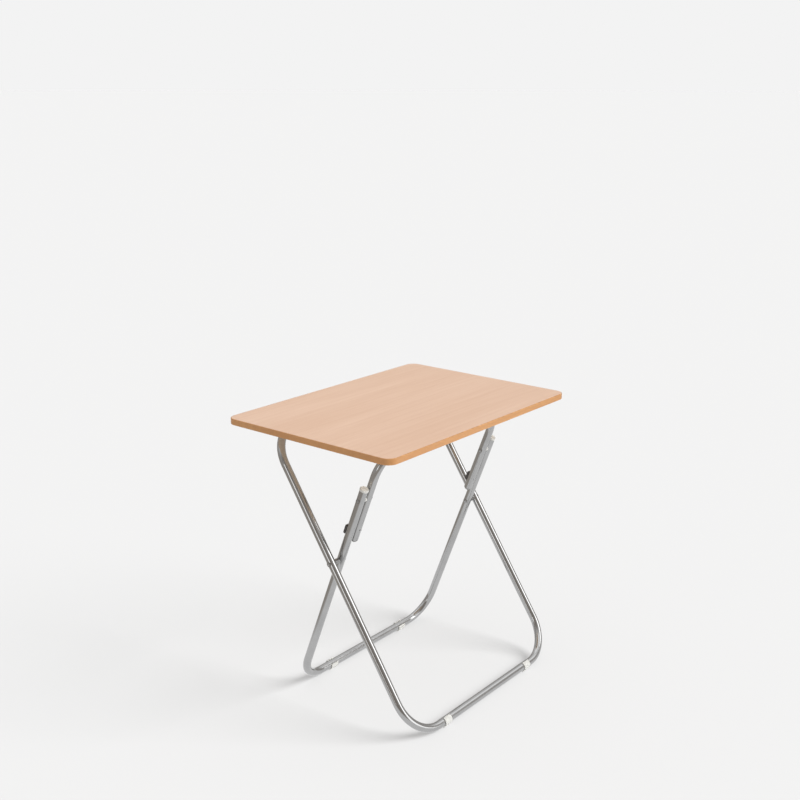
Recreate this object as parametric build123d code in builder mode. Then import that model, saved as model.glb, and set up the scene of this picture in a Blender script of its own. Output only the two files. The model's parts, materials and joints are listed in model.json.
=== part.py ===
"""Folding table: a laminated board on three nested frames of bent steel tube.

The outer frame is a closed loop that hinges in two saddles near the back edge of the board.
The lower frame is a U whose legs cross the outer frame's legs at the cross pivots.
The upper frame is an inverted U that hinges in two saddles near the front edge of the board.
Upper and lower frame are joined by the knee rivets, in line with each other when the table is up.
The knee folds the two back on each other, and board and frames then lie in one flat pack.

Frame: +X along the board's long edge, +Y from the front edge to the back edge, +Z up.
The origin is on the floor, at the middle of the table's outline.  All sizes are in millimetres.
"""
from build123d import *
from math import atan2, cos, degrees, hypot, radians, sin
import os

# ---- board ----
board_width = 700.0
board_depth = 500.0
board_thickness = 15.0
board_corner_radius = 25.0
table_height = 700.0
laminate_thickness = 0.8
band_thickness = 2.0
band_rounding = 1.4

# ---- frame tube ----
tube_radius = 10.0
tube_wall = 1.2

# ---- where the three frames stand, from the middle of the board ----
front_foot_reach = 267.0      # outer frame's floor bar, towards the front
rear_foot_reach = 124.0       # lower frame's floor bar, towards the back
rear_bar_reach = 171.0        # outer frame's top bar, towards the back
front_bar_reach = 129.0       # upper frame's top bar, towards the front
bar_drop = 20.0               # underside of the board to the top bars' axes
outer_half_width = 285.0      # middle plane to the axis of an outer leg
outer_lower_gap = 13.0        # between outer and lower leg, filled by the cross pivot spacer
lower_upper_gap = 5.0         # between lower and upper leg, filled by the knee spacer
outer_floor_bend = 92.0
outer_top_bend = 85.0
lower_floor_bend = 76.0
upper_top_bend = 78.0
lower_leg_past_knee = 28.0    # lower leg's cut end above the knee
upper_leg_past_knee = 120.0   # upper leg's cut end below the knee
seam_gap = 0.4                # between the two ends of the outer loop
joiner_length = 80.0
joiner_wall = 1.5

# ---- feet ----
foot_wall = 2.0
foot_width = 24.0
foot_opening_angle = 90.0
sole_width = 12.0
front_foot_spacing = 336.0
rear_foot_spacing = 274.0
foot_edge_rounding = 0.6

# ---- end caps ----
cap_overhang = 0.6
cap_length = 6.0
cap_rounding = 2.4
cap_plug_length = 16.0
plug_dome_height = 8.0
plug_plug_length = 14.0

# ---- pivots and rivets ----
rivet_radius = 3.0
rivet_head_radius = 6.0
rivet_head_height = 2.4
spacer_radius = 6.5
running_clearance = 0.05
pivot_gap = 0.3               # between faces that slide past each other

# ---- knee stops ----
stop_below_knee = 89.0
stop_length = 22.0
stop_height = 15.3            # from the plane of the leg axes to the back of the stop
stop_reach = 3.5              # from the plane of the leg axes to the stop's front
stop_overlap = 6.5            # past the two leg axes, sideways
stop_clearance = 0.4
stop_rounding = 2.0
stop_rivet_radius = 2.0
stop_rivet_head_radius = 3.6
stop_rivet_head_height = 1.6
stop_recess_depth = 2.6
stop_recess_clearance = 0.5

# ---- saddles and their screws ----
saddle_wall = 4.0
saddle_clearance = 0.08
saddle_width = 22.0
saddle_flange_thickness = 4.0
saddle_flange_length = 62.0
saddle_flange_rounding = 3.0
rear_saddle_spacing = 280.0
front_saddle_spacing = 220.0
screw_spacing = 45.0
screw_radius = 1.9
screw_head_radius = 4.0
screw_head_height = 2.4
screw_head_rounding = 1.4
screw_bite = 10.5
screw_slot_width = 1.1
screw_slot_length = 4.6
screw_slot_depth = 1.3

# ---- worked out ----
outline_front = front_foot_reach + tube_radius + foot_wall
outline_back = board_depth / 2
board_y = (outline_front - outline_back) / 2
underside = table_height - board_thickness
bar_z = underside - bar_drop
foot_z = tube_radius + foot_wall
bore_radius = tube_radius - tube_wall
lower_half_width = outer_half_width - 2 * tube_radius - outer_lower_gap
upper_half_width = lower_half_width - 2 * tube_radius - lower_upper_gap

front_foot_y = board_y - front_foot_reach
rear_foot_y = board_y + rear_foot_reach
rear_bar_y = board_y + rear_bar_reach
front_bar_y = board_y - front_bar_reach

rise = bar_z - foot_z
outer_length = hypot(rear_bar_y - front_foot_y, rise)
outer_lean = atan2(rear_bar_y - front_foot_y, rise)
inner_length = hypot(rear_foot_y - front_bar_y, rise)
inner_lean = atan2(rear_foot_y - front_bar_y, rise)

# The legs cross where the outer leg, leaning back, meets the lower leg, leaning forward.
cross_share = (rear_foot_y - front_foot_y) / (rear_foot_y - front_foot_y + rear_bar_y - front_bar_y)
cross_y = front_foot_y + cross_share * outer_length * sin(outer_lean)
cross_z = foot_z + cross_share * outer_length * cos(outer_lean)
lower_cross_length = cross_share * inner_length
outer_top_length = (1 - cross_share) * outer_length
inner_top_length = (1 - cross_share) * inner_length

# The pack is flat when both ways round from the cross pivot to the front bar are equally long.
bar_spacing = rear_bar_y - front_bar_y
knee_from_cross = (inner_top_length + outer_top_length - bar_spacing) / 2
knee_from_bar = inner_top_length - knee_from_cross

outer_up = (0, sin(outer_lean), cos(outer_lean))
inner_up = (0, -sin(inner_lean), cos(inner_lean))


def along(start_y, start_z, direction, distance, x=0.0):
    """The point at a distance from (start_y, start_z) in a direction, at one x."""
    return (x, start_y + direction[1] * distance, start_z + direction[2] * distance)


knee_y, knee_z = along(cross_y, cross_z, inner_up, knee_from_cross)[1:]
stop_y, stop_z = along(knee_y, knee_z, inner_up, -stop_below_knee)[1:]

SIDES = ((-1, "left"), (1, "right"))

os.makedirs("parts", exist_ok=True)


def save(part, name):
    """Label one finished piece and write it."""
    part.label = name
    export_step(part, f"parts/{name}.step")


def leg_plane(point, up):
    """A plane through both legs of a frame: local x is +X, local y points up the legs."""
    return Plane(origin=point, x_dir=(1, 0, 0), z_dir=(0, -up[2], up[1]))


def section_plane(point, up):
    """A plane square to a leg: local x is +X, local y points to the back of the legs."""
    return Plane(origin=point, x_dir=(1, 0, 0), z_dir=up)


def side_plane(y, z, side):
    """An upright plane along X at one height: local x points outwards, local y up."""
    return Plane(origin=(0, y, z), x_dir=(side, 0, 0), z_dir=(0, -side, 0))


def dome_radius(base_radius, height):
    """The radius of a dome with this base and height."""
    return (base_radius**2 + height**2) / (2 * height)


# ---- board ----


def board_outline(inset):
    """The board's rounded outline, set in from its edge."""
    corner = board_corner_radius - inset
    RectangleRounded(board_width - 2 * inset, board_depth - 2 * inset, corner)


def screw_points(bar_y, spacing):
    """The screw centres of one pair of saddles."""
    return [
        (side * spacing / 2, bar_y + end * screw_spacing / 2)
        for side, label in SIDES
        for end in (-1, 1)
    ]


all_screw_points = screw_points(rear_bar_y, rear_saddle_spacing)
all_screw_points += screw_points(front_bar_y, front_saddle_spacing)


def slab(bottom, thickness):
    """One layer of the board, inside the edge band."""
    with BuildSketch(Plane.XY.offset(bottom)) as layer:
        with Locations((0, board_y)):
            board_outline(band_thickness)
    extrude(layer.sketch, amount=thickness)


def screw_holes():
    """Blind holes for all the saddle screws, from the underside up."""
    with BuildSketch(Plane.XY.offset(underside)) as holes:
        with Locations(*all_screw_points):
            Circle(screw_radius)
    extrude(holes.sketch, amount=screw_bite, mode=Mode.SUBTRACT)


with BuildPart() as table_board:
    slab(underside + laminate_thickness, board_thickness - 2 * laminate_thickness)
    screw_holes()
save(table_board.part, "table_board")

with BuildPart() as top_laminate:
    slab(table_height - laminate_thickness, laminate_thickness)
save(top_laminate.part, "top_laminate")

with BuildPart() as underside_laminate:
    slab(underside, laminate_thickness)
    screw_holes()
save(underside_laminate.part, "underside_laminate")

with BuildPart() as edge_band:
    with BuildSketch(Plane.XY.offset(underside)):
        with Locations((0, board_y)):
            board_outline(0)
    extrude(amount=board_thickness)
    top_rim = edge_band.edges().group_by(Axis.Z)[-1]
    bottom_rim = edge_band.edges().group_by(Axis.Z)[0]
    fillet(top_rim + bottom_rim, radius=band_rounding)
    with BuildSketch(Plane.XY.offset(underside)):
        with Locations((0, board_y)):
            board_outline(band_thickness)
    extrude(amount=board_thickness, mode=Mode.SUBTRACT)
save(edge_band.part, "edge_band")


# ---- saddles ----


def make_saddle(name, x, bar_y):
    """A plastic bearing block that hangs a top bar under the board."""
    shell_radius = tube_radius + saddle_clearance + saddle_wall
    plane = Plane.YZ.offset(x)
    with BuildPart() as saddle:
        with BuildSketch(plane):
            with Locations((bar_y, bar_z)):
                Circle(shell_radius)
            with Locations((bar_y, bar_z + bar_drop / 2)):
                Rectangle(2 * shell_radius, bar_drop)
            with Locations((bar_y, underside - saddle_flange_thickness / 2)):
                Rectangle(saddle_flange_length, saddle_flange_thickness)
        extrude(amount=saddle_width / 2, both=True)
        corners = saddle.edges().filter_by(Axis.Z).group_by(Axis.Y)
        fillet(corners[0] + corners[-1], radius=saddle_flange_rounding)
        with BuildSketch(plane):
            with Locations((bar_y, bar_z)):
                Circle(tube_radius + saddle_clearance)
        extrude(amount=saddle_width, both=True, mode=Mode.SUBTRACT)
        with BuildSketch(Plane.XY.offset(underside)):
            with Locations((x, bar_y - screw_spacing / 2), (x, bar_y + screw_spacing / 2)):
                Circle(screw_radius)
        extrude(amount=-saddle_flange_thickness, mode=Mode.SUBTRACT)
    save(saddle.part, name)


def make_saddle_screws(name, bar_y, spacing):
    """The pan-head screws of one pair of saddles."""
    points = screw_points(bar_y, spacing)
    seat = underside - saddle_flange_thickness
    with BuildPart() as screws:
        with BuildSketch(Plane.XY.offset(seat)):
            with Locations(*points):
                Circle(screw_radius)
        extrude(amount=saddle_flange_thickness + screw_bite)
        with BuildSketch(Plane.XY.offset(seat)):
            with Locations(*points):
                Circle(screw_head_radius)
        extrude(amount=-screw_head_height)
        head_rims = screws.edges().filter_by(GeomType.CIRCLE).group_by(Axis.Z)[0]
        fillet(head_rims, radius=screw_head_rounding)
        with BuildSketch(Plane.XY.offset(seat - screw_head_height)):
            with Locations(*points):
                Rectangle(screw_slot_length, screw_slot_width)
                Rectangle(screw_slot_width, screw_slot_length)
        extrude(amount=screw_slot_depth, mode=Mode.SUBTRACT)
    save(screws.part, name)


for side, label in SIDES:
    make_saddle(f"rear_saddle_{label}", side * rear_saddle_spacing / 2, rear_bar_y)
    make_saddle(f"front_saddle_{label}", side * front_saddle_spacing / 2, front_bar_y)
make_saddle_screws("rear_saddle_screws", rear_bar_y, rear_saddle_spacing)
make_saddle_screws("front_saddle_screws", front_bar_y, front_saddle_spacing)


# ---- tube frames ----


def rivet_holes(y, z, half_width, radius):
    """A hole along X through both walls of both legs of a frame."""
    with BuildSketch(Plane.YZ) as holes:
        with Locations((y, z)):
            Circle(radius)
    extrude(holes.sketch, amount=half_width + 2 * tube_radius, both=True, mode=Mode.SUBTRACT)


def stop_rivet_holes():
    """The holes of the knee stops' rivets, from front to back through the upper legs."""
    across = section_plane((0, stop_y, stop_z), inner_up)
    drill_plane = Plane(origin=across.origin, x_dir=(1, 0, 0), z_dir=across.y_dir)
    with BuildSketch(drill_plane) as holes:
        with Locations((-upper_half_width, 0), (upper_half_width, 0)):
            Circle(stop_rivet_radius)
    extrude(holes.sketch, amount=2 * tube_radius, both=True, mode=Mode.SUBTRACT)


def tube_along(path):
    """A round tube that follows a path."""
    with BuildSketch(Plane(origin=path @ 0, z_dir=path % 0)) as section:
        Circle(tube_radius)
        Circle(bore_radius, mode=Mode.SUBTRACT)
    sweep(section.sketch, path=path)


with BuildPart() as outer_leg_frame:
    half = outer_half_width
    with BuildLine(leg_plane((0, front_foot_y, foot_z), outer_up)) as outer_path:
        FilletPolyline(
            (seam_gap / 2, outer_length),
            (half, outer_length),
            (half, 0),
            (-half, 0),
            (-half, outer_length),
            (-seam_gap / 2, outer_length),
            radius=[outer_top_bend, outer_floor_bend, outer_floor_bend, outer_top_bend],
        )
    tube_along(outer_path.wire())
    rivet_holes(cross_y, cross_z, half, rivet_radius)
save(outer_leg_frame.part, "outer_leg_frame")

with BuildPart() as lower_leg_frame:
    half = lower_half_width
    lower_length = lower_cross_length + knee_from_cross + lower_leg_past_knee
    with BuildLine(leg_plane((0, rear_foot_y, foot_z), inner_up)) as lower_path:
        FilletPolyline(
            (half, lower_length),
            (half, 0),
            (-half, 0),
            (-half, lower_length),
            radius=lower_floor_bend,
        )
    tube_along(lower_path.wire())
    rivet_holes(cross_y, cross_z, half, rivet_radius)
    rivet_holes(knee_y, knee_z, half, rivet_radius)
save(lower_leg_frame.part, "lower_leg_frame")

with BuildPart() as upper_leg_frame:
    half = upper_half_width
    upper_length = knee_from_bar + upper_leg_past_knee
    with BuildLine(leg_plane((0, front_bar_y, bar_z), inner_up)) as upper_path:
        FilletPolyline(
            (half, -upper_length),
            (half, 0),
            (-half, 0),
            (-half, -upper_length),
            radius=upper_top_bend,
        )
    tube_along(upper_path.wire())
    rivet_holes(knee_y, knee_z, half, rivet_radius + running_clearance)
    stop_rivet_holes()
save(upper_leg_frame.part, "upper_leg_frame")

with BuildPart() as outer_frame_joiner:
    with BuildSketch(Plane.YZ):
        with Locations((rear_bar_y, bar_z)):
            Circle(bore_radius)
            Circle(bore_radius - joiner_wall, mode=Mode.SUBTRACT)
    extrude(amount=joiner_length / 2, both=True)
save(outer_frame_joiner.part, "outer_frame_joiner")


# ---- feet ----


def make_foot(name, x, foot_y, up):
    """A C-shaped clip round a floor bar, open towards the legs, with a flat sole."""
    opening = atan2(up[2], up[1])
    half_opening = radians(foot_opening_angle / 2)
    far = 4 * tube_radius
    with BuildPart() as foot:
        with BuildSketch(Plane(origin=(x, foot_y, foot_z), x_dir=(0, 1, 0), z_dir=(1, 0, 0))):
            Circle(foot_z)
            with Locations((0, -foot_z / 2)):
                Rectangle(sole_width, foot_z)
            Circle(tube_radius, mode=Mode.SUBTRACT)
            with BuildLine():
                Polyline(
                    (0, 0),
                    (far * cos(opening - half_opening), far * sin(opening - half_opening)),
                    (far * cos(opening), far * sin(opening)),
                    (far * cos(opening + half_opening), far * sin(opening + half_opening)),
                    close=True,
                )
            make_face(mode=Mode.SUBTRACT)
        extrude(amount=foot_width / 2, both=True)
        outer_arcs = foot.edges().filter_by(GeomType.CIRCLE)
        rims = outer_arcs.filter_by(lambda edge: edge.radius > tube_radius + foot_wall / 2)
        fillet(rims, radius=foot_edge_rounding)
    save(foot.part, name)


for side, label in SIDES:
    make_foot(f"front_foot_{label}", side * front_foot_spacing / 2, front_foot_y, outer_up)
    make_foot(f"rear_foot_{label}", side * rear_foot_spacing / 2, rear_foot_y, inner_up)


# ---- end caps and plugs ----


def make_end_cap(name, x):
    """A round cap with a plug, on the cut end of a lower leg."""
    end = along(rear_foot_y, foot_z, inner_up, lower_length, x)
    with BuildPart() as cap:
        with BuildSketch(section_plane(end, inner_up)):
            Circle(tube_radius + cap_overhang)
        extrude(amount=cap_length)
        top_rim = cap.edges().filter_by(GeomType.CIRCLE).sort_by(Axis.Z)[-1]
        fillet(top_rim, radius=cap_rounding)
        with BuildSketch(section_plane(end, inner_up)):
            Circle(bore_radius)
        extrude(amount=-cap_plug_length)
    save(cap.part, name)


def make_end_plug(name, x):
    """A domed plug in the cut end of an upper leg."""
    end = along(front_bar_y, bar_z, inner_up, -upper_length, x)
    curve = dome_radius(tube_radius, plug_dome_height)
    with BuildPart() as plug:
        with BuildSketch(leg_plane(end, inner_up)):
            with BuildLine():
                RadiusArc((0, -plug_dome_height), (tube_radius, 0), -curve)
                Polyline(
                    (tube_radius, 0),
                    (bore_radius, 0),
                    (bore_radius, plug_plug_length),
                    (0, plug_plug_length),
                    (0, -plug_dome_height),
                )
            make_face()
        revolve(axis=Axis(end, inner_up))
    save(plug.part, name)


for side, label in SIDES:
    make_end_cap(f"lower_end_cap_{label}", side * lower_half_width)
    make_end_plug(f"upper_end_plug_{label}", side * upper_half_width)


# ---- rivets and spacers ----


def make_rivet(name, y, z, side, head_face, shank_end, tail_face=None):
    """A domed rivet along X.  Its head stands on head_face, and a second head on tail_face."""
    outward = 1 if head_face > shank_end else -1
    head_top = head_face + outward * rivet_head_height
    curve = dome_radius(rivet_head_radius, rivet_head_height)
    with BuildPart() as rivet:
        with BuildSketch(side_plane(y, z, side)):
            with BuildLine():
                RadiusArc((head_top, 0), (head_face, rivet_head_radius), outward * curve)
                Polyline(
                    (head_face, rivet_head_radius),
                    (head_face, rivet_radius),
                    (shank_end, rivet_radius),
                    (shank_end, 0),
                    (head_top, 0),
                )
            make_face()
            if tail_face is not None:
                tail_top = tail_face - outward * rivet_head_height
                with BuildLine():
                    RadiusArc((tail_top, 0), (tail_face, rivet_head_radius), -outward * curve)
                    Polyline((tail_face, rivet_head_radius), (tail_face, 0), (tail_top, 0))
                make_face()
        revolve(axis=Axis((0, y, z), (1, 0, 0)))
    save(rivet.part, name)


def make_spacer(name, y, z, side, leg_axis, leg_up, free_end):
    """A ring round a rivet, hollowed at one end to sit on a leg, flat at the other."""
    inward = 1 if leg_axis > free_end else -1
    with BuildPart() as spacer:
        with BuildSketch(Plane.YZ.offset(side * free_end)):
            with Locations((y, z)):
                Circle(spacer_radius)
                Circle(rivet_radius, mode=Mode.SUBTRACT)
        extrude(amount=side * (leg_axis - inward * rivet_radius - free_end))
        with BuildSketch(section_plane((side * leg_axis, y, z), leg_up)):
            Circle(tube_radius)
        extrude(amount=2 * spacer_radius, both=True, mode=Mode.SUBTRACT)
    save(spacer.part, name)


outer_face = outer_half_width + tube_radius
lower_outer_face = lower_half_width + tube_radius
lower_inner_face = lower_half_width - tube_radius
upper_outer_face = upper_half_width + tube_radius
upper_inner_face = upper_half_width - tube_radius

for side, label in SIDES:
    # The cross pivot's rivet is in two halves, parted where the spacer meets the lower leg.
    spacer_end = lower_outer_face + pivot_gap
    make_rivet(f"cross_pivot_rivet_{label}", cross_y, cross_z, side, outer_face, spacer_end)
    make_spacer(
        f"cross_pivot_spacer_{label}", cross_y, cross_z, side, outer_half_width, outer_up, spacer_end
    )
    make_rivet(
        f"cross_pivot_end_{label}", cross_y, cross_z, side, lower_inner_face, lower_outer_face
    )
    # The knee's rivet is fast in the lower leg and turns in the upper leg.
    make_rivet(
        f"knee_rivet_{label}",
        knee_y,
        knee_z,
        side,
        lower_outer_face,
        upper_inner_face - pivot_gap,
        tail_face=upper_inner_face - pivot_gap,
    )
    make_spacer(
        f"knee_spacer_{label}",
        knee_y,
        knee_z,
        side,
        lower_half_width,
        inner_up,
        upper_outer_face + pivot_gap,
    )


# ---- knee stops ----


def make_knee_stop(name, side):
    """A moulded block on the upper leg that reaches behind the lower leg."""
    plane = section_plane((0, stop_y, stop_z), inner_up)
    inner_edge = upper_half_width - stop_overlap
    outer_edge = lower_half_width + stop_overlap
    middle = side * (inner_edge + outer_edge) / 2
    with BuildPart() as stop:
        with BuildSketch(plane):
            with Locations((middle, (stop_height + stop_reach) / 2)):
                Rectangle(outer_edge - inner_edge, stop_height - stop_reach)
        extrude(amount=stop_length / 2, both=True)
        back = stop.faces().sort_by(Axis(plane.origin, plane.y_dir))[-1]
        fillet(back.edges(), radius=stop_rounding)
        with BuildSketch(plane):
            with Locations((side * upper_half_width, 0)):
                Circle(tube_radius)
            with Locations((side * lower_half_width, 0)):
                Circle(tube_radius + stop_clearance)
        extrude(amount=stop_length, both=True, mode=Mode.SUBTRACT)
        back_plane = Plane(
            origin=plane.from_local_coords((side * upper_half_width, stop_height, 0)),
            x_dir=(1, 0, 0),
            z_dir=plane.y_dir,
        )
        with BuildSketch(back_plane):
            Circle(stop_rivet_head_radius + stop_recess_clearance)
        extrude(amount=-stop_recess_depth, mode=Mode.SUBTRACT)
        with BuildSketch(back_plane):
            Circle(stop_rivet_radius)
        extrude(amount=-stop_height, mode=Mode.SUBTRACT)
    save(stop.part, name)


def make_stop_rivet(name, side):
    """The rivet that holds a knee stop, from front to back through the upper leg."""
    plane = section_plane((side * upper_half_width, stop_y, stop_z), inner_up)
    seat = stop_height - stop_recess_depth
    back = seat + stop_rivet_head_height
    front = -tube_radius - stop_rivet_head_height
    curve = dome_radius(stop_rivet_head_radius, stop_rivet_head_height)
    with BuildPart() as rivet:
        with BuildSketch(plane):
            with BuildLine():
                RadiusArc((0, back), (stop_rivet_head_radius, seat), curve)
                Polyline(
                    (stop_rivet_head_radius, seat),
                    (stop_rivet_radius, seat),
                    (stop_rivet_radius, -tube_radius),
                    (stop_rivet_head_radius, -tube_radius),
                )
                RadiusArc((stop_rivet_head_radius, -tube_radius), (0, front), curve)
                Line((0, front), (0, back))
            make_face()
        revolve(axis=Axis(plane.origin, plane.y_dir))
    save(rivet.part, name)


for side, label in SIDES:
    make_knee_stop(f"knee_stop_{label}", side)
    make_stop_rivet(f"knee_stop_rivet_{label}", side)

# The record's joints use these places and angles.
print(f"fold of the outer frame: {90 - degrees(outer_lean):.4f} degrees")
print(f"fold of the upper frame: {90 - degrees(inner_lean):.4f} degrees")
print(f"knee_from_cross {knee_from_cross:.3f}, knee_from_bar {knee_from_bar:.3f}")
print(f"rear bar ({rear_bar_y:.3f}, {bar_z:.3f}), front bar ({front_bar_y:.3f}, {bar_z:.3f})")
print(f"cross pivot ({cross_y:.3f}, {cross_z:.3f}), knee ({knee_y:.3f}, {knee_z:.3f})")
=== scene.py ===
"""Looks of the folding table: materials, floor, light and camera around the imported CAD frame."""
import json
import math

import bpy
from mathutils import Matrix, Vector

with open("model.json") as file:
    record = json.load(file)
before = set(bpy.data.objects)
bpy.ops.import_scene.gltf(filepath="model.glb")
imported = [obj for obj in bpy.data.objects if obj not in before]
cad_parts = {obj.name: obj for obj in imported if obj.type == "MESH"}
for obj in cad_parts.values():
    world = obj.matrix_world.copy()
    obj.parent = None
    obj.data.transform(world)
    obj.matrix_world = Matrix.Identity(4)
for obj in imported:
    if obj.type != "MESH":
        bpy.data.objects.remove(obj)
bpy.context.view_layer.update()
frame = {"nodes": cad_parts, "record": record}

# ---- camera, in metres, degrees and millimetres of lens and sensor ----
CAMERA_PLACE = (-2.052, -1.650, 1.448)
CAMERA_HEADING = 50.81
CAMERA_PITCH = -15.59
CAMERA_LENS = 50.5
SENSOR_WIDTH = 36.0

# ---- studio ----
FLOOR_HALF = 400.0
FLOOR_COLOUR = (0.20, 0.20, 0.20, 1.0)
FLOOR_ROUGHNESS = 0.95
FLOOR_GLOW = 0.365
GLOW_COLOUR = (1.0, 1.0, 1.0, 1.0)
BACKDROP_COLOUR = (0.896, 0.896, 0.896, 1.0)
# the table and the floor each have a key light, given by where it comes from
KEY_FROM = (0.32, -0.85, 0.42)
KEY_STRENGTH = 1.4
KEY_ANGLE = 14.0
FLOOR_KEY_FROM = (0.45, -0.75, 0.65)
FLOOR_KEY_STRENGTH = 9.0
FLOOR_KEY_ANGLE = 36.0
# slots of the board's own pieces, which don't shade the floor from its key light
BOARD_SLOTS = ("beech_laminate", "backing_laminate", "edge_band", "board_core")
WALL_COLOUR = (0.50, 0.48, 0.46, 1.0)
# each panel: its direction from the table, the cosines where it fades in, its colour
STUDIO_PANELS = (
    ((0.0, 0.0, 1.0), 0.30, 0.70, (0.92, 0.92, 0.92, 1.0)),
    ((-0.775, -0.632, 0.20), 0.50, 0.95, (0.345, 0.312, 0.282, 1.0)),
    ((0.0, 0.0, 1.0), 0.80, 0.95, (1.40, 1.40, 1.40, 1.0)),
    ((-0.985, -0.12, 0.12), 0.982, 0.992, (1.8, 1.8, 1.8, 1.0)),
    ((0.70, -0.25, 0.66), 0.965, 0.990, (1.45, 1.45, 1.45, 1.0)),
    ((0.35, -0.93, 0.06), 0.90, 0.96, (2.0, 2.0, 2.0, 1.0)),
    ((0.44, -0.75, 0.50), 0.975, 0.988, (3.6, 3.6, 3.6, 1.0)),
)
# the pool of light on the floor that only polished metal mirrors
POOL_MIDDLE = (0.8, -0.6, 0.0)
POOL_REACH = 1.52
POOL_FADE = 0.25
POOL_COLOUR = (0.90, 0.90, 0.90, 1.0)
BEYOND_POOL_COLOUR = (0.48, 0.445, 0.405, 1.0)
POOL_DROP = 0.002

# ---- surface patterns ----
# A scale is in repeats per metre, a stretch is a scale per axis, a span is a range of noise
# values, and a height is how far a bump rises, in metres.
WHOLE = (0.0, 1.0)
CHROME_CLOUD_SCALE = 18.0
CHROME_CLOUD_SPAN = (0.35, 0.65)
CHROME_CLOUD_BRIGHTNESS = 0.9
CHROME_MARK_SCALE = 240.0
CHROME_MARK_SPAN = (0.4, 0.75)
CHROME_MARK_ROUGHER = 0.10
CHROME_WAVE_SCALE = 45.0
CHROME_WAVE_STRENGTH = 0.06
CHROME_WAVE_HEIGHT = 0.0008

PLASTIC_DRIFT_SCALE = 60.0
PLASTIC_SHEEN_SCALE = 300.0
PLASTIC_SPAN = (0.3, 0.7)
PLASTIC_DRIFT_BRIGHTNESS = 0.93
PLASTIC_SMOOTHER = 0.05
PLASTIC_ROUGHER = 0.07
PLASTIC_GRAIN_SCALE = 900.0
PLASTIC_GRAIN_STRENGTH = 0.12
PLASTIC_GRAIN_HEIGHT = 0.0002

BEECH_FIGURE_SCALE = 6.0
BEECH_FIGURE_STRETCH = (0.35, 2.6, 1.0)
BEECH_FIGURE_SPAN = (0.32, 0.70)
BEECH_FIBRE_SCALE = 60.0
BEECH_FIBRE_STRETCH = (0.06, 1.6, 1.0)
BEECH_FIBRE_SPAN = (0.42, 0.70)
BEECH_FIBRE_SHARE = 0.55
BEECH_FLECK_SCALE = 420.0
BEECH_FLECK_STRETCH = (0.14, 1.0, 1.0)
BEECH_FLECK_SPAN = (0.60, 0.72)
BEECH_FLECK_SHARE = 0.35
BEECH_FLECK_BRIGHTNESS = 0.86
BEECH_SHEEN_SPAN = (0.3, 0.7)
BEECH_ROUGHER = 0.08
BEECH_COAT_ROUGHNESS = 0.18
BEECH_FLECK_STRENGTH = 0.05
BEECH_FLECK_HEIGHT = 0.0002

CHIP_SCALE = 420.0
CHIP_STRETCH = (1, 1, 2)
CHIP_ROUGHNESS = 0.9
CHIP_STRENGTH = 0.4
CHIP_HEIGHT = 0.0005

# sockets of the Mix node when it mixes colours
MIX_SHARE = 0
MIX_FIRST = 6
MIX_SECOND = 7
MIX_RESULT = 2


# ---- colours ----


def srgb(red, green, blue):
    """Linear colour from 8-bit sRGB values."""

    def linear(value):
        value /= 255
        return value / 12.92 if value <= 0.04045 else ((value + 0.055) / 1.055) ** 2.4

    return (linear(red), linear(green), linear(blue), 1.0)


def dimmed(colour, brightness):
    """A colour at a share of its brightness."""
    return tuple(channel * brightness for channel in colour[:3]) + (1.0,)


def halfway(first, second):
    """The colour between two colours."""
    return tuple((a + b) / 2 for a, b in zip(first[:3], second[:3])) + (1.0,)


# ---- node helpers ----


def new_material(name):
    """An empty material with its output and a Principled shader."""
    material = bpy.data.materials.new(name)
    material.use_nodes = True
    tree = material.node_tree
    tree.nodes.clear()
    output = tree.nodes.new("ShaderNodeOutputMaterial")
    shader = tree.nodes.new("ShaderNodeBsdfPrincipled")
    tree.links.new(shader.outputs["BSDF"], output.inputs["Surface"])
    return material, tree, shader


def feed(tree, value, socket):
    """Link a socket's value to another socket, or set it."""
    if isinstance(value, bpy.types.NodeSocket):
        tree.links.new(value, socket)
    else:
        socket.default_value = value


def node(tree, kind, inputs=None, **settings):
    """A node with its settings and input values; an input may be another node's socket."""
    made = tree.nodes.new(kind)
    for key, value in settings.items():
        setattr(made, key, value)
    for key, value in (inputs or {}).items():
        feed(tree, value, made.inputs[key])
    return made


def place(tree, stretch):
    """The object's own coordinates, in metres, stretched by a scale per axis."""
    coordinates = node(tree, "ShaderNodeTexCoord")
    mapping = node(
        tree, "ShaderNodeMapping", {"Vector": coordinates.outputs["Object"], "Scale": stretch}
    )
    return mapping.outputs["Vector"]


def noise(tree, scale, detail, roughness=0.55, stretch=(1, 1, 1)):
    """Noise over the object's own coordinates."""
    made = node(
        tree,
        "ShaderNodeTexNoise",
        {
            "Vector": place(tree, stretch),
            "Scale": scale,
            "Detail": detail,
            "Roughness": roughness,
        },
    )
    return made.outputs["Fac"]


def remap(tree, value, span, to_span):
    """A value stretched from one span to another, held at its ends."""
    made = node(
        tree,
        "ShaderNodeMapRange",
        {
            "Value": value,
            "From Min": span[0],
            "From Max": span[1],
            "To Min": to_span[0],
            "To Max": to_span[1],
        },
    )
    return made.outputs["Result"]


def mix_colour(tree, share, first, second):
    """Two colours mixed by a share."""
    made = node(tree, "ShaderNodeMix", data_type="RGBA")
    for key, value in ((MIX_SHARE, share), (MIX_FIRST, first), (MIX_SECOND, second)):
        feed(tree, value, made.inputs[key])
    return made.outputs[MIX_RESULT]


def bump(tree, shader, pattern, strength, height):
    """Bump from a pattern on a shader."""
    made = node(
        tree, "ShaderNodeBump", {"Height": pattern, "Strength": strength, "Distance": height}
    )
    tree.links.new(made.outputs["Normal"], shader.inputs["Normal"])


# ---- materials ----


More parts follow.
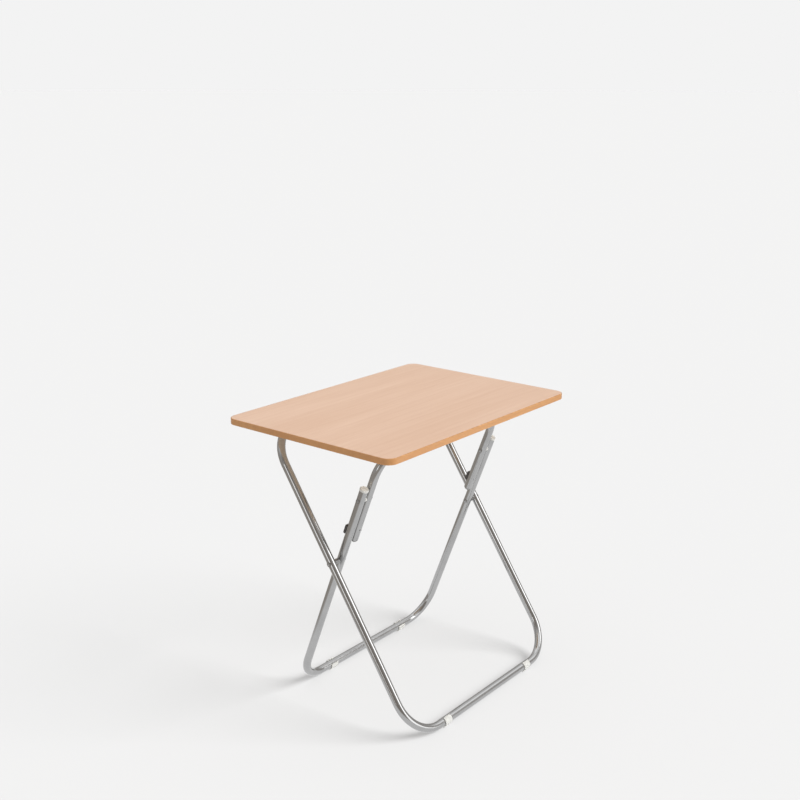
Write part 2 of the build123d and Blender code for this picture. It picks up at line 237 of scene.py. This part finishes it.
def chrome(name, colour, roughness):
    """Bright plating: soft clouding, handling marks and faint waviness."""
    material, tree, shader = new_material(name)
    shader.inputs["Metallic"].default_value = 1.0
    cloud = remap(tree, noise(tree, CHROME_CLOUD_SCALE, detail=3.0), CHROME_CLOUD_SPAN, WHOLE)
    dull = dimmed(colour, CHROME_CLOUD_BRIGHTNESS)
    tree.links.new(mix_colour(tree, cloud, colour, dull), shader.inputs["Base Color"])
    marks = noise(tree, CHROME_MARK_SCALE, detail=6.0, roughness=0.7)
    rough = remap(tree, marks, CHROME_MARK_SPAN, (roughness, roughness + CHROME_MARK_ROUGHER))
    tree.links.new(rough, shader.inputs["Roughness"])
    waves = noise(tree, CHROME_WAVE_SCALE, detail=2.0)
    bump(tree, shader, waves, CHROME_WAVE_STRENGTH, CHROME_WAVE_HEIGHT)
    return material


def plastic(name, colour, roughness):
    """Moulded plastic: fine grain, slight colour drift, soft sheen."""
    material, tree, shader = new_material(name)
    drift = remap(tree, noise(tree, PLASTIC_DRIFT_SCALE, detail=3.0), PLASTIC_SPAN, WHOLE)
    darker = dimmed(colour, PLASTIC_DRIFT_BRIGHTNESS)
    tree.links.new(mix_colour(tree, drift, colour, darker), shader.inputs["Base Color"])
    sheen = noise(tree, PLASTIC_SHEEN_SCALE, detail=3.0)
    rough = remap(
        tree, sheen, PLASTIC_SPAN, (roughness - PLASTIC_SMOOTHER, roughness + PLASTIC_ROUGHER)
    )
    tree.links.new(rough, shader.inputs["Roughness"])
    grain = noise(tree, PLASTIC_GRAIN_SCALE, detail=2.0)
    bump(tree, shader, grain, PLASTIC_GRAIN_STRENGTH, PLASTIC_GRAIN_HEIGHT)
    return material


def beech(name, light, dark, roughness, coat=0.0):
    """Beech pattern along X: broad soft figure, fine fibre and short flecks."""
    material, tree, shader = new_material(name)
    figure = noise(tree, BEECH_FIGURE_SCALE, detail=4.0, roughness=0.5, stretch=BEECH_FIGURE_STRETCH)
    fibre = noise(tree, BEECH_FIBRE_SCALE, detail=6.0, roughness=0.65, stretch=BEECH_FIBRE_STRETCH)
    fleck = noise(tree, BEECH_FLECK_SCALE, detail=3.0, roughness=0.6, stretch=BEECH_FLECK_STRETCH)
    figure_share = remap(tree, figure, BEECH_FIGURE_SPAN, WHOLE)
    fibre_share = remap(tree, fibre, BEECH_FIBRE_SPAN, (0.0, BEECH_FIBRE_SHARE))
    fleck_share = remap(tree, fleck, BEECH_FLECK_SPAN, (0.0, BEECH_FLECK_SHARE))
    colour = mix_colour(tree, figure_share, light, halfway(light, dark))
    colour = mix_colour(tree, fibre_share, colour, dark)
    colour = mix_colour(tree, fleck_share, colour, dimmed(dark, BEECH_FLECK_BRIGHTNESS))
    tree.links.new(colour, shader.inputs["Base Color"])
    rough = remap(tree, fibre, BEECH_SHEEN_SPAN, (roughness, roughness + BEECH_ROUGHER))
    tree.links.new(rough, shader.inputs["Roughness"])
    shader.inputs["Coat Weight"].default_value = coat
    shader.inputs["Coat Roughness"].default_value = BEECH_COAT_ROUGHNESS
    bump(tree, shader, fleck, BEECH_FLECK_STRENGTH, BEECH_FLECK_HEIGHT)
    return material


def particle_board(name, light, dark):
    """Raw chip core."""
    material, tree, shader = new_material(name)
    chips = node(
        tree, "ShaderNodeTexVoronoi", {"Vector": place(tree, CHIP_STRETCH), "Scale": CHIP_SCALE}
    )
    chip = node(tree, "ShaderNodeSeparateColor", {"Color": chips.outputs["Color"]}).outputs["Red"]
    tree.links.new(mix_colour(tree, chip, light, dark), shader.inputs["Base Color"])
    shader.inputs["Roughness"].default_value = CHIP_ROUGHNESS
    bump(tree, shader, chip, CHIP_STRENGTH, CHIP_HEIGHT)
    return material


MATERIALS = {
    "beech_laminate": beech(
        "beech_laminate", srgb(223, 189, 164), srgb(211, 172, 144), roughness=0.42, coat=0.12
    ),
    "backing_laminate": beech(
        "backing_laminate", srgb(230, 208, 184), srgb(214, 186, 156), roughness=0.55
    ),
    "edge_band": beech(
        "edge_band", srgb(200, 145, 88), srgb(184, 126, 73), roughness=0.34, coat=0.6
    ),
    "board_core": particle_board("board_core", srgb(196, 160, 112), srgb(140, 104, 66)),
    "chrome_tube": chrome("chrome_tube", (0.475, 0.475, 0.475, 1.0), roughness=0.10),
    "rivet_steel": chrome("rivet_steel", (0.38, 0.38, 0.38, 1.0), roughness=0.16),
    "zinc_steel": chrome("zinc_steel", (0.55, 0.55, 0.56, 1.0), roughness=0.30),
    "white_plastic": plastic("white_plastic", srgb(212, 212, 208), roughness=0.42),
    "grey_plastic": plastic("grey_plastic", srgb(150, 150, 148), roughness=0.45),
    "dark_plastic": plastic("dark_plastic", srgb(80, 77, 75), roughness=0.48),
}


# ---- the CAD nodes ----


def slot_pieces(left_out=()):
    """Every CAD node with its slot's name, apart from some slots."""
    return [
        (frame["nodes"][part["node"]], part["material_slot"])
        for part in frame["record"]["subparts"]
        if part["material_slot"] not in left_out
    ]


def dress_cad_nodes():
    """Give every CAD node its slot's material."""
    for piece, slot in slot_pieces():
        piece.data.materials.clear()
        piece.data.materials.append(MATERIALS[slot])


dress_cad_nodes()


# ---- floor, light and camera ----


def floor_plane(name, material, height):
    """A wide level plane of one material."""
    sides = ((-1, -1), (1, -1), (1, 1), (-1, 1))
    corners = [(x * FLOOR_HALF, y * FLOOR_HALF, height) for x, y in sides]
    mesh = bpy.data.meshes.new(name)
    mesh.from_pydata(corners, [], [(0, 1, 2, 3)])
    mesh.materials.append(material)
    plane = bpy.data.objects.new(name, mesh)
    bpy.context.scene.collection.objects.link(plane)
    return plane


def add_floor():
    """A plain pale floor under the table."""
    material, _, shader = new_material("studio_floor")
    shader.inputs["Base Color"].default_value = FLOOR_COLOUR
    shader.inputs["Roughness"].default_value = FLOOR_ROUGHNESS
    shader.inputs["Emission Color"].default_value = GLOW_COLOUR
    shader.inputs["Emission Strength"].default_value = FLOOR_GLOW
    shader.inputs["Specular IOR Level"].default_value = 0.0
    floor = floor_plane("studio_floor", material, 0)
    floor.visible_glossy = False
    return floor


def add_floor_pool():
    """What polished metal mirrors of the floor: pale near the table, dim further left."""
    material = bpy.data.materials.new("floor_pool")
    material.use_nodes = True
    tree = material.node_tree
    tree.nodes.clear()
    output = node(tree, "ShaderNodeOutputMaterial")
    coordinates = node(tree, "ShaderNodeTexCoord").outputs["Object"]
    away = node(tree, "ShaderNodeVectorMath", {0: coordinates, 1: POOL_MIDDLE}, operation="DISTANCE")
    beyond = remap(tree, away.outputs["Value"], (POOL_REACH, POOL_REACH + POOL_FADE), WHOLE)
    colour = mix_colour(tree, beyond, POOL_COLOUR, BEYOND_POOL_COLOUR)
    glow = node(tree, "ShaderNodeEmission", {"Color": colour})
    tree.links.new(glow.outputs["Emission"], output.inputs["Surface"])
    pool = floor_plane("floor_pool", material, -POOL_DROP)
    pool.visible_camera = False
    pool.visible_diffuse = False
    pool.visible_shadow = False


def gathered(name, pieces):
    """A collection of pieces, for a light to be linked to."""
    collection = bpy.data.collections.new(name)
    for piece in pieces:
        collection.objects.link(piece)
    return collection


def add_sun(name, from_direction, strength, angle, lit, shading):
    """Parallel soft light from a direction, on some pieces, shaded by some pieces."""
    light = bpy.data.lights.new(name, "SUN")
    light.energy = strength
    light.angle = math.radians(angle)
    lamp = bpy.data.objects.new(name, light)
    lamp.visible_glossy = False
    lamp.light_linking.receiver_collection = lit
    lamp.light_linking.blocker_collection = shading
    lamp.rotation_euler = (-Vector(from_direction)).to_track_quat("-Z", "Y").to_euler()
    bpy.context.scene.collection.objects.link(lamp)


def add_key_lights(floor):
    """One key light for the table, and one for the floor that the board doesn't shade."""
    table = gathered("table", [piece for piece, _ in slot_pieces()])
    legs = gathered("legs", [piece for piece, _ in slot_pieces(left_out=BOARD_SLOTS)])
    ground = gathered("studio_floor", [floor])
    add_sun("key", KEY_FROM, KEY_STRENGTH, KEY_ANGLE, table, table)
    add_sun("floor_key", FLOOR_KEY_FROM, FLOOR_KEY_STRENGTH, FLOOR_KEY_ANGLE, ground, legs)


def facing(tree, direction, towards, low, high):
    """0 to 1 as a direction turns towards an axis, between two cosines."""
    cosine = node(tree, "ShaderNodeVectorMath", {0: direction, 1: towards}, operation="DOT_PRODUCT")
    made = node(
        tree,
        "ShaderNodeMapRange",
        {"Value": cosine.outputs["Value"], "From Min": low, "From Max": high},
        interpolation_type="SMOOTHSTEP",
    )
    return made.outputs["Result"]


def add_world():
    """A studio of soft panels and darker gaps, behind a plain backdrop for the camera."""
    world = bpy.data.worlds.new("studio")
    bpy.context.scene.world = world
    world.use_nodes = True
    tree = world.node_tree
    tree.nodes.clear()
    output = node(tree, "ShaderNodeOutputWorld")
    direction = node(tree, "ShaderNodeTexCoord").outputs["Generated"]
    light = WALL_COLOUR
    for towards, low, high, colour in STUDIO_PANELS:
        light = mix_colour(tree, facing(tree, direction, towards, low, high), light, colour)
    studio = node(tree, "ShaderNodeBackground", {"Color": light})
    backdrop = node(tree, "ShaderNodeBackground", {"Color": BACKDROP_COLOUR})
    seen = node(tree, "ShaderNodeLightPath").outputs["Is Camera Ray"]
    mixed = node(
        tree,
        "ShaderNodeMixShader",
        {0: seen, 1: studio.outputs["Background"], 2: backdrop.outputs["Background"]},
    )
    tree.links.new(mixed.outputs["Shader"], output.inputs["Surface"])


def add_camera():
    """The camera that looks at the table over its front left corner."""
    camera = bpy.data.cameras.new("camera")
    camera.lens = CAMERA_LENS
    camera.sensor_width = SENSOR_WIDTH
    holder = bpy.data.objects.new("camera", camera)
    holder.location = CAMERA_PLACE
    tilt = math.radians(90 + CAMERA_PITCH)
    turn = math.radians(-CAMERA_HEADING)
    holder.rotation_euler = (tilt, 0, turn)
    bpy.context.scene.collection.objects.link(holder)
    bpy.context.scene.camera = holder


floor = add_floor()
add_floor_pool()
add_world()
add_key_lights(floor)
add_camera()
bpy.context.scene.view_settings.view_transform = "Standard"
